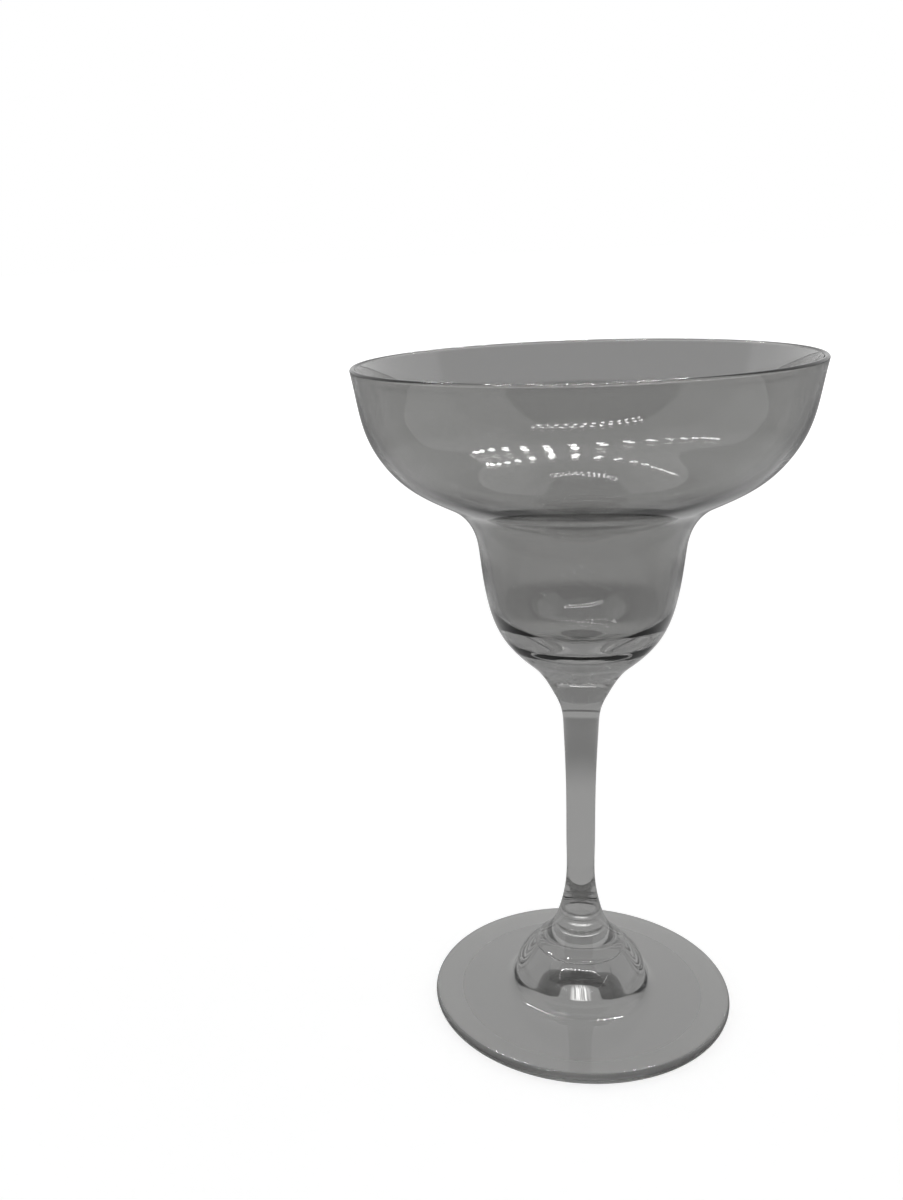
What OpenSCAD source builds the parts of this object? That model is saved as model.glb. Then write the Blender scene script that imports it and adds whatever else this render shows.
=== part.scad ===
// Margarita glass: a stepped bowl, a drawn stem and a domed foot, all turned about one axis.
// The three pieces of clear glass meet face to face where the real ones are fused.

/* [Overall] */
// Outer diameter of the rim
rim_d = 110; // [106:1:116]
// Outer diameter of the foot
foot_d = 79; // [72:1:90]
// Height of the bowl above its joint with the stem
bowl_h = 85; // [80:1:92]
// Length of the stem between its two joints
stem_h = 59; // [54:1:75]
// Height of the foot up to its joint with the stem
foot_h = 28; // [25:1:32]

/* [Bowl] */
// Diameter of the joint between bowl and stem
bowl_joint_d = 12.8; // [11:0.2:14]
// Diameter halfway round the bowl's solid bottom
bottom_d = 26.8; // [25:0.2:29]
// Height of that place above the joint
bottom_h = 9.7; // [9:0.1:11]
// Diameter of the well where its wall starts
well_low_d = 46.6; // [44:0.2:49]
// Height of the start of the well's wall
well_low_h = 26; // [24:0.5:28]
// Diameter of the well where it meets the shoulder
well_top_d = 50.5; // [49.5:0.5:53]
// Height of the top of the well
well_top_h = 39.5; // [37:0.5:42]
// Diameter in the middle of the shoulder
shoulder_d = 68; // [65:0.5:71]
// Height of the middle of the shoulder
shoulder_h = 51.8; // [50:0.1:54]
// Diameter where the saucer turns up
saucer_d = 96.4; // [93:0.2:100]
// Height at which the saucer turns up
saucer_h = 62.5; // [60:0.5:66]

/* [Bowl wall] */
// Thickness at the rim
rim_wall = 1.3; // [1:0.1:2]
// Thickness at the bottom of the well
well_wall = 2.4; // [1.8:0.1:3]
// Height of the middle of the well's inner floor above the joint
floor_h = 15; // [12:0.5:16]
// Diameter of the well's inner floor where it turns up
floor_d = 32; // [28:0.5:34]
// Height of the turn above the middle of the floor
floor_rise = 3.3; // [2.5:0.1:4]

/* [Stem] */
// Diameter of the narrowest part of the stem
waist_d = 7.5; // [6.5:0.1:9]
// Height of the narrowest part above the lower joint
waist_h = 20; // [16:1:26]
// Diameter where the stem starts to flare out to the bowl
flare_d = 8.8; // [8:0.1:10]
// Length of that flare below the upper joint
flare_h = 10.5; // [9:0.5:14]

/* [Foot] */
// Diameter of the joint between stem and foot
foot_joint_d = 10; // [8.6:0.1:11]
// Diameter of the fine raised ring at the bottom of the bell
ring_d = 24.2; // [22:0.2:26]
// Depth of that ring below the joint
ring_drop = 11.9; // [11:0.1:13]
// Width of the ring
ring_w = 0.9; // [0.6:0.1:1.2]
// Widest diameter of the dome under the ring
dome_d = 34.2; // [32:0.2:37]
// Height of the widest place
dome_h = 8.2; // [7.6:0.1:9]
// Thickness of the disc at its rounded edge
edge_t = 3; // [2.4:0.1:3.4]
// Thickness of the disc at the foot of the dome
disc_t = 4.7; // [4:0.1:5]
// Width of the flat ring that the glass rests on
rest_w = 6; // [4:0.5:8]
// Height of the hollow under the dome
hollow_h = 8; // [6:0.25:8.5]
// Diameter of the hollow at half its height
hollow_d = 22; // [18:0.5:24]
// Height of the shallow hollow round it, under the disc
arch_h = 1.2; // [0.8:0.1:1.5]

/* [Hidden] */
$fn = 128;

// Points along each stretch of an outline
steps = 12;
// Points along each quarter of a rounded edge
edge_steps = 5;
// Handle length of a stretch, as a share of its chord. This value draws a quarter turn as a circle.
pull = 0.39;

// A station of an outline is [radius, height, lean], where the lean is the wall's angle from upright.
// The lean is positive where the outline opens outwards on its way up, and past 90 it runs downwards.
// A corner has a fourth number, the lean at which the outline goes on.

// Lean of the outline where the bowl meets the stem
bowl_joint_lean = 28;
// Lean of the outline where the stem meets the foot
foot_joint_lean = -14;

bowl_joint = [bowl_joint_d / 2, 0, bowl_joint_lean];
bottom = [bottom_d / 2, bottom_h, 50];
well_low = [well_low_d / 2, well_low_h, 12];
well_top = [well_top_d / 2, well_top_h, 7];
shoulder = [shoulder_d / 2, shoulder_h, 63];
saucer = [saucer_d / 2, saucer_h, 36];
rim_lean = 12;
// Centre of the rim's round lip
lip_r = rim_wall / 2;
lip = [rim_d / 2 - lip_r, bowl_h - lip_r];
rim = [lip[0] + lip_r * cos(rim_lean), lip[1] - lip_r * sin(rim_lean), rim_lean];
floor_mid = [0, floor_h, 90];
floor_turn = [floor_d / 2, floor_h + floor_rise, 50];

stem_foot = [foot_joint_d / 2, 0, foot_joint_lean];
waist = [waist_d / 2, waist_h, 0];
flare = [flare_d / 2, stem_h - flare_h, 3];
stem_bowl = [bowl_joint_d / 2, stem_h, bowl_joint_lean];

foot_r = foot_d / 2;
edge_r = edge_t / 2;
// Inner radius of the resting ring
rest_r = foot_r - edge_r - rest_w;
// Width over which the hollow runs out into the arch under the disc
hollow_skirt = 5;
// Width of the fillet between the disc and the dome
fillet_w = 3.5;
hollow_mid = [0, hollow_h, 90];
hollow_side = [hollow_d / 2, hollow_h / 2, 140];
hollow_foot = [hollow_d / 2 + hollow_skirt, arch_h, 97];
hollow_edge = [rest_r, 0, 94];
edge_top = [foot_r - edge_r, edge_t, -86];
disc_top = [dome_d / 2 + fillet_w, disc_t, -83];
dome = [dome_d / 2, dome_h, -4];
// The ring bulges out a little between two corners, along the slope that it lies on
ring_lean = -32;
ring_low = [ring_d / 2, foot_h - ring_drop, -50, -10];
ring_top = [ring_low[0] + ring_w * sin(ring_lean), ring_low[1] + ring_w * cos(ring_lean), -80, -52];
neck = [foot_joint_d / 2, foot_h, foot_joint_lean];

// Direction in which the outline comes to a station, in the drawing plane
function coming(s) = [sin(s[2]), cos(s[2])];
// Direction in which it goes on from there
function going(s) = let (lean = s[len(s) - 1]) [sin(lean), cos(lean)];
// Place of a station in the drawing plane
function place(s) = [s[0], s[1]];

// Points of one stretch from station a up to station b, without the last one
function stretch(a, b) =
    let (hold = norm(place(b) - place(a)) * pull)
    let (p1 = place(a) + hold * going(a))
    let (p2 = place(b) - hold * coming(b))
    [for (i = [0 : steps - 1])
        let (t = i / steps, u = 1 - t)
        u * u * u * place(a) + 3 * u * u * t * p1 + 3 * u * t * t * p2 + t * t * t * place(b)];

// Points of an outline through all its stations
function outline(stations) =
    let (last = len(stations) - 1)
    [for (i = [0 : last - 1]) each stretch(stations[i], stations[i + 1]), place(stations[last])];

// Points of a circular arc from angle a to angle b
function arc(centre, r, a, b) =
    [for (i = [0 : edge_steps]) let (t = a + (b - a) * i / edge_steps) centre + r * [cos(t), sin(t)]];

// Points in the opposite order
function reversed(points) = [for (i = [len(points) - 1 : -1 : 0]) points[i]];

// Wall thickness of the bowl at height h, which thins steadily from the bottom of the well to the rim
function wall(h) = well_wall + (rim_wall - well_wall) * (h - well_low_h) / (rim[1] - well_low_h);

// Station of the inner face: station s moved square to the wall by the wall's thickness
function inset(s) = [s[0] - wall(s[1]) * cos(s[2]), s[1] + wall(s[1]) * sin(s[2]), s[2]];

// Bowl with a solid rounded bottom, a straight well, a flat shoulder and a curved saucer
module bowl() {
    side = [well_low, well_top, shoulder, saucer, rim];
    outer = outline(concat([bowl_joint, bottom], side));
    inner = outline(concat([floor_mid, floor_turn], [for (s = side) inset(s)]));
    lip_out = arc(lip, lip_r, -rim_lean, 90);
    lip_in = arc(lip, lip_r, 90, 180 - rim_lean);
    color([0.5, 0.51, 0.51, 0.55])
        translate([0, 0, foot_h + stem_h])
            rotate_extrude()
                polygon(concat([[0, 0]], outer, lip_out, lip_in, reversed(inner)));
}

// Solid stem with a slim waist, flared to both of its joints
module stem() {
    side = outline([stem_foot, waist, flare, stem_bowl]);
    color([0.55, 0.56, 0.56, 0.55])
        translate([0, 0, foot_h])
            rotate_extrude()
                polygon(concat([[0, 0]], side, [[0, stem_h]]));
}

// Disc with a rounded edge and a dome that a ring parts from the bell above it, hollow underneath
module foot() {
    under = outline([hollow_mid, hollow_side, hollow_foot, hollow_edge]);
    side = outline([edge_top, disc_top, dome, ring_low, ring_top, neck]);
    edge = arc([foot_r - edge_r, edge_r], edge_r, -90, 90);
    color([0.56, 0.57, 0.57, 0.55])
        rotate_extrude()
            polygon(concat(under, edge, side, [[0, foot_h]]));
}

bowl();
stem();
foot();
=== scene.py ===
"""A margarita glass, turned from three outlines, on a white table in a small light tent."""
import math

import bpy
from mathutils import Matrix, Vector


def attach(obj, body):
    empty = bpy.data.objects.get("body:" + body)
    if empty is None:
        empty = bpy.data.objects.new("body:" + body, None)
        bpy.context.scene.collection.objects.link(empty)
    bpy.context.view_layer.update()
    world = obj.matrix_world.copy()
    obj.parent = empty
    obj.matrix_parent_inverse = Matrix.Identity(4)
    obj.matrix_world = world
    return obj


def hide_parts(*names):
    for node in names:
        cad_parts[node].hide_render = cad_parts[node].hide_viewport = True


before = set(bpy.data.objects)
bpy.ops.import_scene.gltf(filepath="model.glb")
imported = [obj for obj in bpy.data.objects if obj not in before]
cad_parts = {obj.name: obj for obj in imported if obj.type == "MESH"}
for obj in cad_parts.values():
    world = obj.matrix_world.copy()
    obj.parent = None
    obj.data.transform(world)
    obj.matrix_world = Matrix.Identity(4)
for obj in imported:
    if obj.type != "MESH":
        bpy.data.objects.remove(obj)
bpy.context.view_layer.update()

# Bowl
# A wide saucer that steps down over a flat shoulder into a narrow well, with a thick rounded bottom.
# It is clear glass shaped in a turning mould, with a wall that thins from the well up to the round,
# fire-polished lip, and its lowest face is fused to the stem.

MM = 0.001
STEM_TOP = 87
RIM_RADIUS = 55
RIM_TOP = 85
RIM_LEAN = 12
RIM_WALL = 1.3
WELL_WALL = 2.4
LIP = RIM_WALL / 2
LIP_CENTRE = (RIM_RADIUS - LIP, RIM_TOP - LIP)
# Height over which the fire-polished lip has a glass of its own
LIP_DEPTH = 0.9
BOWL_JOINT_RADIUS = 6.4
BOWL_JOINT_LEAN = 28
OUTWARDS = 90
INWARDS = -90
# Distance in mm that counts as none
HAIR = 0.001

# A station is its radius and height in mm and its lean from upright in degrees.
# At a corner a fourth number is the lean with which the outline goes on.
bowl_bottom = (13.4, 9.7, 50)
well_low = (23.3, 26, 12)
well_top = (25.25, 39.5, 7)
shoulder = (34, 51.8, 63)
saucer = (48.2, 62.5, 36)
floor_turn = (16, 18.3, -130)
floor_middle = (0, 15, INWARDS)


def across_wall(radius, height, lean, distance):
    """The place that lies that far across a leaning wall, towards its inner side."""
    lean = math.radians(lean)
    return radius - distance * math.cos(lean), height + distance * math.sin(lean)


rim = (*across_wall(*LIP_CENTRE, RIM_LEAN, -LIP), RIM_LEAN)
lip_top = (LIP_CENTRE[0], RIM_TOP, INWARDS)
bowl_side = [well_low, well_top, shoulder, saucer, rim]


def inner_station(radius, height, lean):
    """The station of the inner face that lies square across the wall, met on the way down."""
    wall = WELL_WALL + (RIM_WALL - WELL_WALL) * (height - well_low[1]) / (rim[1] - well_low[1])
    return (*across_wall(radius, height, lean, wall), lean - 180)


def raised(stations, height):
    """The same stations, that much higher."""
    return [(station[0], station[1] + height, *station[2:]) for station in stations]


bowl_outline = raised(
    [(0, 0, OUTWARDS), (BOWL_JOINT_RADIUS, 0, OUTWARDS, BOWL_JOINT_LEAN), bowl_bottom, *bowl_side, lip_top]
    + [inner_station(*station) for station in reversed(bowl_side)]
    + [floor_turn, floor_middle],
    STEM_TOP,
)
# Handle length of a stretch, as a share of its chord, which draws a quarter turn as a circle
PULL = 0.39


def outline_curve(name, stations):
    """A curve through all the stations, in the plane that it is turned from."""
    curve = bpy.data.curves.new(name, "CURVE")
    curve.dimensions = "3D"
    spline = curve.splines.new("BEZIER")
    spline.bezier_points.add(len(stations) - 1)
    places = [Vector((station[0], station[1], 0)) * MM for station in stations]
    for i, (station, point) in enumerate(zip(stations, spline.bezier_points)):
        before = (places[i] - places[max(i - 1, 0)]).length
        after = (places[min(i + 1, len(places) - 1)] - places[i]).length
        arriving = math.radians(station[2])
        leaving = math.radians(station[-1])
        point.handle_left_type = "FREE"
        point.handle_right_type = "FREE"
        point.co = places[i]
        point.handle_left = places[i] - PULL * before * Vector((math.sin(arriving), math.cos(arriving), 0))
        point.handle_right = places[i] + PULL * after * Vector((math.sin(leaving), math.cos(leaving), 0))
    return curve


class Wire:
    """One output in a node tree. Sums, differences, products and comparisons of it add Math nodes."""

    def __init__(self, tree, socket=None):
        self.tree = tree
        self.socket = socket

    def node(self, kind, settings=None, sockets=None, output=0):
        """Adds a node of that kind with its settings, then the values or links of its sockets."""
        made = self.tree.nodes.new(kind)
        for name, value in (settings or {}).items():
            setattr(made, name, value)
        for name, value in (sockets or {}).items():
            if isinstance(value, Wire):
                self.tree.links.new(value.socket, made.inputs[name])
            else:
                made.inputs[name].default_value = value
        return Wire(self.tree, made.outputs[output] if made.outputs else None)

    def other(self, output):
        """Another output of the same node."""
        return Wire(self.tree, self.socket.node.outputs[output])

    def math(self, operation, first, second):
        """A Math node for one operation on two values."""
        return self.node("ShaderNodeMath", {"operation": operation}, {0: first, 1: second})

    def __add__(self, value):
        return self.math("ADD", self, value)

    __radd__ = __add__

    def __sub__(self, value):
        return self.math("SUBTRACT", self, value)

    def __rsub__(self, value):
        return self.math("SUBTRACT", value, self)

    def __mul__(self, value):
        return self.math("MULTIPLY", self, value)

    __rmul__ = __mul__

    def __gt__(self, value):
        return self.math("GREATER_THAN", self, value)

    def __lt__(self, value):
        return self.math("LESS_THAN", self, value)

    def ramp(self, low, high, start=0.0, end=1.0):
        """Goes smoothly from start to end while this value goes from low to high."""
        return self.node(
            "ShaderNodeMapRange",
            {"interpolation_type": "SMOOTHSTEP"},
            {"Value": self, "From Min": low, "From Max": high, "To Min": start, "To Max": end},
        )


turning = bpy.data.node_groups.new("turned glass", "GeometryNodeTree")
turning.is_modifier = True
for name, kind in (
    ("Outline", "NodeSocketGeometry"),
    ("Points to a stretch", "NodeSocketInt"),
    ("Points to a turn", "NodeSocketInt"),
    ("Lower end", "NodeSocketFloat"),
    ("Upper end", "NodeSocketFloat"),
    ("Outer glass", "NodeSocketMaterial"),
    ("Inner glass", "NodeSocketMaterial"),
    ("Lower glass", "NodeSocketMaterial"),
    ("Upper glass", "NodeSocketMaterial"),
):
    turning.interface.new_socket(name, in_out="INPUT", socket_type=kind)
turning.interface.new_socket("Turned piece", in_out="OUTPUT", socket_type="NodeSocketGeometry")

# The outline is swept along a small circle, which it is moved back by, so that it turns about the axis
PATH_RADIUS = 10 * MM
# Faces that meet at a larger angle than this have a crisp edge between them
CRISP = math.radians(35)
given = Wire(turning).node("NodeGroupInput")
path = given.node(
    "GeometryNodeCurvePrimitiveCircle",
    {},
    {"Resolution": given.other("Points to a turn"), "Radius": PATH_RADIUS},
)
profile = given.node(
    "GeometryNodeSetSplineResolution",
    {},
    {0: given.other("Outline"), "Resolution": given.other("Points to a stretch")},
)
profile = given.node(
    "GeometryNodeTransform",
    {},
    {"Geometry": profile, "Translation": (-PATH_RADIUS, 0, 0), "Scale": (1, -1, 1)},
)
body = given.node("GeometryNodeCurveToMesh", {}, {"Curve": path, "Profile Curve": profile})
body = given.node("GeometryNodeMergeByDistance", {}, {"Geometry": body, "Distance": HAIR * MM})
body = given.node("GeometryNodeFlipFaces", {}, {0: body})
body = given.node("GeometryNodeSetShadeSmooth", {"domain": "FACE"}, {0: body, "Shade Smooth": True})
body = given.node(
    "GeometryNodeSetShadeSmooth",
    {"domain": "EDGE"},
    {0: body, "Selection": given.node("GeometryNodeInputMeshEdgeAngle") > CRISP, "Shade Smooth": False},
)
body = given.node("GeometryNodeRealizeInstances", {}, {0: body})
place = given.node("GeometryNodeInputPosition")
level = given.node("ShaderNodeSeparateXYZ", {}, {0: place}, "Z")
from_axis = given.node("ShaderNodeVectorMath", {"operation": "MULTIPLY"}, {0: place, 1: (1, 1, 0)})
# Over nought on faces that look away from the axis, under it on those that look towards it
outwards = given.node(
    "ShaderNodeVectorMath",
    {"operation": "DOT_PRODUCT"},
    {0: from_axis, 1: given.node("GeometryNodeInputNormal")},
    "Value",
)
body = given.node("GeometryNodeSetMaterial", {}, {0: body, "Material": given.other("Outer glass")})
for selection, glass in (
    (outwards < 0, "Inner glass"),
    ((level < given.other("Lower end")) * (outwards > -HAIR * MM), "Lower glass"),
    (level > given.other("Upper end"), "Upper glass"),
):
    body = given.node(
        "GeometryNodeSetMaterial", {}, {0: body, "Selection": selection, "Material": given.other(glass)}
    )
given.node("NodeGroupOutput", {}, {0: body})


def turned_piece(name, node, stations, along, around, outer, inner, lower, upper):
    """Turns the outline about the upright axis into a closed mesh, and lets it stand for the CAD node.
    Its lower and upper ends are each given as a height in mm and the glass of what lies past it."""
    outline = bpy.data.objects.new(name + " outline", outline_curve(name + " outline", stations))
    bpy.context.scene.collection.objects.link(outline)
    lathe = outline.modifiers.new("turning", "NODES")
    lathe.node_group = turning
    values = {
        "Points to a stretch": along,
        "Points to a turn": around,
        "Lower end": lower[0] * MM,
        "Upper end": upper[0] * MM,
        "Outer glass": outer,
        "Inner glass": inner,
        "Lower glass": lower[1],
        "Upper glass": upper[1],
    }
    for socket in turning.interface.items_tree:
        if socket.name in values:
            lathe[socket.identifier] = values[socket.name]
    view = bpy.context.evaluated_depsgraph_get()
    piece = bpy.data.objects.new(name, bpy.data.meshes.new_from_object(outline.evaluated_get(view)))
    bpy.data.objects.remove(outline)
    bpy.context.scene.collection.objects.link(piece)
    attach(piece, "root")
    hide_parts(node)


# Where two pieces are fused, light passes straight through
joint_glass = bpy.data.materials.new("fused joint")
joint_glass.use_nodes = True
joint_glass.node_tree.nodes.clear()
start = Wire(joint_glass.node_tree)
start.node("ShaderNodeOutputMaterial", {}, {"Surface": start.node("ShaderNodeBsdfTransparent")})
# The grey of the glass has a trace of warmth
TONE = (1, 0.998, 0.985)
GLASS_IOR = 1.5
GLOSS_IOR = 2.0


def smoky_glass(name, passes, ripple=0.01, waves=60, gloss=0.0, wear=0.03):
    """Glass that lets that share of light pass at each crossing of its face. Its ripple is in mm, waves
    is how close the ripples are, gloss is a clear coat, and wear is how matt its face is."""
    material = bpy.data.materials.new(name)
    material.use_nodes = True
    material.node_tree.nodes.clear()
    start = Wire(material.node_tree)
    place = start.node("ShaderNodeTexCoord", output="Object")
    bumps = start.node("ShaderNodeTexNoise", {}, {"Vector": place, "Scale": waves, "Detail": 1.0})
    normal = start.node("ShaderNodeBump", {}, {"Height": bumps, "Strength": 1.0, "Distance": ripple * MM})
    glass = start.node(
        "ShaderNodeBsdfPrincipled",
        {},
        {
            "Base Color": (*(passes**2 * share for share in TONE), 1),
            "Roughness": wear,
            "IOR": GLASS_IOR,
            "Transmission Weight": 1.0,
            "Coat Weight": gloss,
            "Coat IOR": GLOSS_IOR,
            "Coat Roughness": 0.0,
            "Normal": normal,
        },
    )
    start.node("ShaderNodeOutputMaterial", {}, {"Surface": glass})
    return material


turned_piece(
    "turned_bowl",
    "bowl",
    bowl_outline,
    along=20,
    around=256,
    outer=smoky_glass("bowl glass, outside", passes=0.50),
    inner=smoky_glass("bowl glass, inside", passes=0.99, ripple=0.003, gloss=1.0),
    lower=(STEM_TOP + HAIR, joint_glass),
    upper=(STEM_TOP + RIM_TOP - LIP_DEPTH, smoky_glass("bowl glass, lip", passes=0.65)),
)

# Stem
# A solid rod of the same glass, drawn out of the bowl's bottom while hot, so it is slim at its waist and
# flares to both ends. Its flat ends are fused to the bowl and to the foot.

FOOT_TOP = 28
STEM_LENGTH = STEM_TOP - FOOT_TOP
FOOT_JOINT_RADIUS = 5
FOOT_JOINT_LEAN = -14
waist = (3.75, 20, 0)
flare = (4.4, 48.5, 3)
stem_outline = raised(
    [
        (0, 0, OUTWARDS),
        (FOOT_JOINT_RADIUS, 0, OUTWARDS, FOOT_JOINT_LEAN),
        waist,
        flare,
        (BOWL_JOINT_RADIUS, STEM_LENGTH, BOWL_JOINT_LEAN, INWARDS),
        (0, STEM_LENGTH, INWARDS),
    ],
    FOOT_TOP,
)
stem_glass = smoky_glass("stem glass", passes=0.59, waves=40)
turned_piece(
    "drawn_stem",
    "stem",
    stem_outline,
    along=24,
    around=128,
    outer=stem_glass,
    inner=stem_glass,
    lower=(FOOT_TOP + HAIR, joint_glass),
    upper=(STEM_TOP - HAIR, joint_glass),
)

# Foot
# A disc with a rounded edge and a domed middle, pressed in one piece and fused to the stem, with a fine
# ring between the dome and the bell above it. It is hollow underneath, and stands on a flat ring that is
# worn a little matt, as is the lower half of its edge.

EDGE_HEIGHT = 1.5
hollow_middle = (0, 8, OUTWARDS)
hollow_side = (11, 4, 140)
hollow_foot = (16, 1.2, 97)
rest_inner = (32, 0, 94, OUTWARDS)
rest_outer = (38, 0, OUTWARDS)
edge = (39.5, EDGE_HEIGHT, 0)
edge_top = (38, 3, INWARDS, -86)
disc_top = (20.6, 4.7, -83)
dome = (17.1, 8.2, -4)
ring_low = (12.1, 16.1, -50, -10)
ring_top = (11.62, 16.86, -80, -52)
foot_outline = [
    hollow_middle,
    hollow_side,
    hollow_foot,
    rest_inner,
    rest_outer,
    edge,
    edge_top,
    disc_top,
    dome,
    ring_low,
    ring_top,
    (FOOT_JOINT_RADIUS, FOOT_TOP, FOOT_JOINT_LEAN, INWARDS),
    (0, FOOT_TOP, INWARDS),
]
foot_glass = smoky_glass("foot glass", passes=0.56)
turned_piece(
    "pressed_foot",
    "foot",
    foot_outline,
    along=20,
    around=256,
    outer=foot_glass,
    inner=foot_glass,
    lower=(EDGE_HEIGHT, smoky_glass("foot glass, worn ring", passes=0.68, wear=0.45)),
    upper=(FOOT_TOP - HAIR, joint_glass),
)

# Table
# A wide white table top that runs out of sight, on which the glass stands and casts a soft shadow.
# It is less bright to rays that come off or through the glass. Through the glass a small streaky spot
# of painted light shows on it under the foot's dome, a painted caustic.

TABLE_SIZE = 60
TABLE_TOP = -0.1 * MM
# Each pair is the distances from the middle of the foot, in metres, between which a brightness changes
BY_THE_FOOT = (0.12, 0.2)
BEHIND_THE_STEM = (0.13, 0.2)
FURTHER_OFF = (0.3, 0.42)
FAR_OFF = (1.15, 1.35)
ALL_THE_WAY = (0.3, 1.2)
# The brightness itself, to the camera, in reflections and through the glass, where 1 is white
CAMERA_LEVELS = (0.79, 1.0)
MIRROR_LEVELS = (0.25, 0.6)
MIRROR_DROP = 0.32
GLASS_LEVELS = (0.8, 0.3)
SHADE = 0.36
MATT_WHITE = 0.4
MATT_DROP = 0.3
# Place, size and brightness of the painted caustic, a streaky spot of painted light under the foot's dome
SPOT_PLACE = (3.2 * MM, 18 * MM, 0)
SPOT_EDGE = (0.8 * MM, 3.2 * MM)
SPOT_LEVELS = (3.2, 0.0)
STREAKS = 2500
STREAK_EDGE = (0.38, 0.6)
STREAK_LEVELS = (0.1, 1.0)
DRAWN_OUT = (1, 0.1, 0)
bpy.ops.mesh.primitive_plane_add(size=TABLE_SIZE, location=(0, 0, TABLE_TOP))
table = bpy.context.object
table.name = "table"
white = bpy.data.materials.new("white table")
white.use_nodes = True
white.node_tree.nodes.clear()
start = Wire(white.node_tree)
sight = start.node("ShaderNodeLightPath", output="Is Camera Ray")
in_glass = sight.other("Is Glossy Ray")
through = sight.other("Is Transmission Ray")
mirrored = in_glass - through
place = start.node("ShaderNodeTexCoord", output="Object")
away = start.node("ShaderNodeVectorMath", {"operation": "LENGTH"}, {0: place}, "Value")
from_spot = start.node("ShaderNodeVectorMath", {"operation": "DISTANCE"}, {0: place, 1: SPOT_PLACE}, "Value")
streaks = start.node(
    "ShaderNodeTexNoise",
    {},
    {
        "Vector": start.node("ShaderNodeVectorMath", {"operation": "MULTIPLY"}, {0: place, 1: DRAWN_OUT}),
        "Scale": STREAKS,
        "Detail": 1.0,
    },
).ramp(*STREAK_EDGE, *STREAK_LEVELS)
# Painted light: a streaky spot that stands in for light gathered by the foot's dome, seen only through the
# glass
painted_caustic = from_spot.ramp(*SPOT_EDGE, *SPOT_LEVELS) * streaks
shade = away.ramp(*BEHIND_THE_STEM, end=SHADE) - away.ramp(*FURTHER_OFF, end=SHADE)
to_camera = away.ramp(*ALL_THE_WAY, *CAMERA_LEVELS)
to_mirror = away.ramp(*BY_THE_FOOT, *MIRROR_LEVELS) - away.ramp(*FURTHER_OFF, end=MIRROR_DROP)
to_glass = away.ramp(*FAR_OFF, *GLASS_LEVELS) - shade + painted_caustic
glow = to_camera * sight + mirrored * to_mirror + through * to_glass
shine = start.node("ShaderNodeEmission", {}, {"Color": (1, 1, 1, 1), "Strength": glow})
matt = start.node("ShaderNodeBsdfDiffuse", {}, {"Color": MATT_WHITE - in_glass * MATT_DROP})
both = start.node("ShaderNodeAddShader", {}, {0: shine, 1: matt})
start.node("ShaderNodeOutputMaterial", {}, {"Surface": both})
table.data.materials.append(white)

# Light tent
# White cloth all round with a darker opening at the front, where the camera looks in. Small lamps hang
# under its roof, two rows on a straight bar over the glass and two on a curved bar behind it. Their
# points of light show again and again in the glass.

# Level direction of the opening. A direction's share of it is 1 straight ahead and 0 to the side.
FRONT = (-0.28, -0.96, 0)
FRONT_HALF = (-0.1, 0.02)
OPENING_SIDE = (0.55, 0.62)
# Heights in the tent, where 0 is level and 1 straight up
OPENING_FOOT = (0.34, 0.4)
ROOF_EDGE = (0.88, 0.96)
WALL = 0.75
ROOF = 0.5
FRONT_DROP = 0.15
OPENING_DROP = 0.45
world = bpy.data.worlds.new("light tent")
bpy.context.scene.world = world
world.use_nodes = True
world.node_tree.nodes.clear()
start = Wire(world.node_tree)
sight = start.node("ShaderNodeLightPath", output="Is Camera Ray")
way = start.node("ShaderNodeTexCoord", output="Generated")
height = start.node("ShaderNodeSeparateXYZ", {}, {0: way}, "Z")
level = start.node("ShaderNodeVectorMath", {"operation": "MULTIPLY"}, {0: way, 1: (1, 1, 0)})
level = start.node("ShaderNodeVectorMath", {"operation": "NORMALIZE"}, {0: level})
facing = start.node("ShaderNodeVectorMath", {"operation": "DOT_PRODUCT"}, {0: level, 1: FRONT}, "Value")
opening = facing.ramp(*OPENING_SIDE, end=OPENING_DROP) * height.ramp(*OPENING_FOOT)
walls = WALL - facing.ramp(*FRONT_HALF, end=FRONT_DROP) - opening
roof = height.ramp(*ROOF_EDGE)
tent = walls * (1 - roof) + roof * ROOF
light = start.node(
    "ShaderNodeBackground", {}, {"Color": (1, 1, 1, 1), "Strength": sight + (1 - sight) * tent}
)
start.node("ShaderNodeOutputWorld", {}, {"Surface": light})

# Sizes and places of the lamps in mm, and turns in degrees
LAMP_RADIUS = 5
LAMP_HEIGHT = 500
LAMP_POWER = 0.006 * LAMP_RADIUS**2
ROWS = 2
STRAIGHT_LAMPS = 13
STRAIGHT_STEP = 21.4
STRAIGHT_MIDDLE = (-38, -58)
STRAIGHT_ROW_GAP = 28
CURVED_LAMPS = 17
CURVED_RADIUS = 160
CURVED_CENTRE = (10, 350)
CURVED_ROW_GAP = 15
CURVED_START = 180
CURVED_STEP = 11.25


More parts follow.
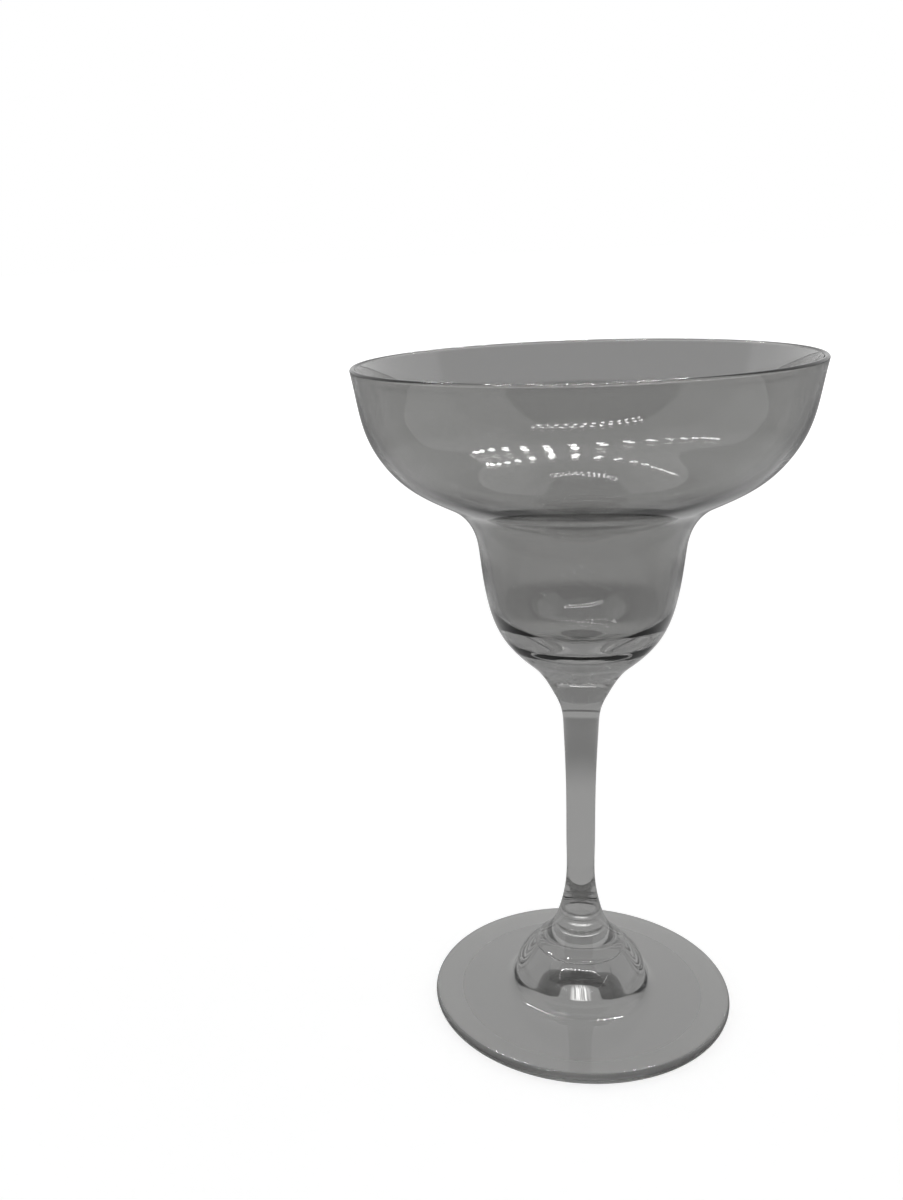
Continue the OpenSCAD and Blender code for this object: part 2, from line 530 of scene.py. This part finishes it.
def hang_lamp(name, x, y):
    """A small round lamp over that place in mm, seen only in the glass."""
    lamp = bpy.data.lights.new(name, "POINT")
    lamp.energy = LAMP_POWER
    lamp.shadow_soft_size = LAMP_RADIUS * MM
    point = bpy.data.objects.new(name, lamp)
    point.location = Vector((x, y, LAMP_HEIGHT)) * MM
    point.visible_camera = False
    point.visible_diffuse = False
    bpy.context.scene.collection.objects.link(point)


for row in range(ROWS):
    for number in range(STRAIGHT_LAMPS):
        step = number - STRAIGHT_LAMPS // 2 + 0.5 * row
        hang_lamp(
            f"straight bar {row} {number}",
            STRAIGHT_MIDDLE[0] + STRAIGHT_STEP * step,
            STRAIGHT_MIDDLE[1] + STRAIGHT_ROW_GAP * row,
        )
    for number in range(CURVED_LAMPS):
        turn = math.radians(CURVED_START + CURVED_STEP * number)
        hang_lamp(
            f"curved bar {row} {number}",
            CURVED_CENTRE[0] + CURVED_RADIUS * math.cos(turn),
            CURVED_CENTRE[1] - CURVED_ROW_GAP * row + CURVED_RADIUS * math.sin(turn),
        )

# Camera
# It looks down at the glass by 16 degrees from a little to its left, tilted slightly, as the photograph
# was taken.

PITCH = math.radians(16.19)
ROLL = math.radians(2.65)
EYE = Vector((-0.0506, -0.2869, 0.1981))
SENSOR = 36
LENS = 35.976
# Sideways shift of the picture, as a share of its height
SHIFT = 73 / 1200
right = Vector((math.cos(ROLL), -math.sin(ROLL) * math.sin(PITCH), -math.sin(ROLL) * math.cos(PITCH)))
up = Vector((math.sin(ROLL), math.cos(ROLL) * math.sin(PITCH), math.cos(ROLL) * math.cos(PITCH)))
back = Vector((0, -math.cos(PITCH), math.sin(PITCH)))
lens = bpy.data.cameras.new("camera")
lens.sensor_width = SENSOR
lens.lens = LENS
lens.shift_x = SHIFT
camera = bpy.data.objects.new("camera", lens)
camera.matrix_world = Matrix.Translation(EYE) @ Matrix((right, up, back)).transposed().to_4x4()
bpy.context.scene.collection.objects.link(camera)
bpy.context.scene.camera = camera
bpy.context.scene.view_settings.view_transform = "Standard"
